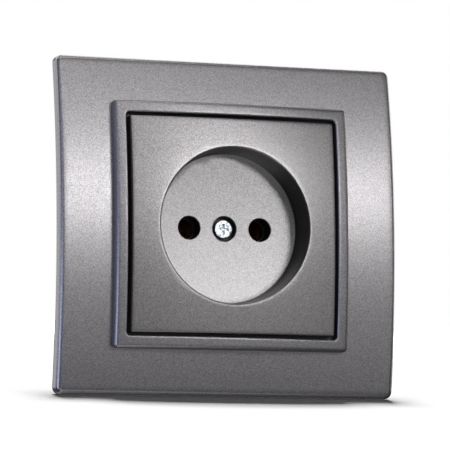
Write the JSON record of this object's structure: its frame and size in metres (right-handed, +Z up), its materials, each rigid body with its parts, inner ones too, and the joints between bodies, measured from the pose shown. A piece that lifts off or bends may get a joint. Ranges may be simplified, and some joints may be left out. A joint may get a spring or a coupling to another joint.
{
  "type": "wall socket",
  "caption": "Flush wall socket with round pin holes in a round well, a crowned square surround and a steel plate with spreader claws behind.",
  "frame": {"origin": "centre of the box-screw pattern, on the wall plane at the mounting plate's back face", "axes": "-Y out of the wall towards the room, +Y into the wall box, +Z up, +X to the right as seen from the room"},
  "size_m": [0.09, 0.034, 0.085],
  "materials": {
    "lacquered_face": "pearl lacquer, anthracite",
    "zinc_steel": "bright zinc plated",
    "screw_steel": "blue-white zinc plated",
    "rivet_steel": "plain",
    "base_resin": "moulded phenolic resin, black",
    "contact_brass": "plain rolled",
    "spring_steel": "blued spring steel"
  },
  "bodies": {
    "socket_body": {"outer_frame": "lacquered_face", "trim_ring": "lacquered_face", "socket_cover": "lacquered_face", "cover_screw": "screw_steel", "cover_nut": "screw_steel", "mounting_plate": "zinc_steel", "contact_base": "base_resin", "rear_cover": "base_resin", "base_rivets": "rivet_steel", "terminal_screws": "screw_steel", "left_contact": "contact_brass", "right_contact": "contact_brass", "left_contact_clip": "spring_steel", "right_contact_clip": "spring_steel", "left_terminal_block": "contact_brass", "right_terminal_block": "contact_brass"},
    "left_spreader": {"left_claw": "zinc_steel", "left_claw_screw": "screw_steel"},
    "right_spreader": {"right_claw": "zinc_steel", "right_claw_screw": "screw_steel"}
  },
  "joints": [
    {"name": "left_claw_swing", "type": "hinge", "parent": "socket_body", "child": "left_spreader", "pos_m": [-0.02046, -0.0011, 0.007], "axis": [0, 0, 1], "range_deg": [0, 15]},
    {"name": "right_claw_swing", "type": "hinge", "parent": "socket_body", "child": "right_spreader", "pos_m": [0.02046, -0.0011, -0.007], "axis": [0, 0, -1], "range_deg": [0, 15]}
  ]
}
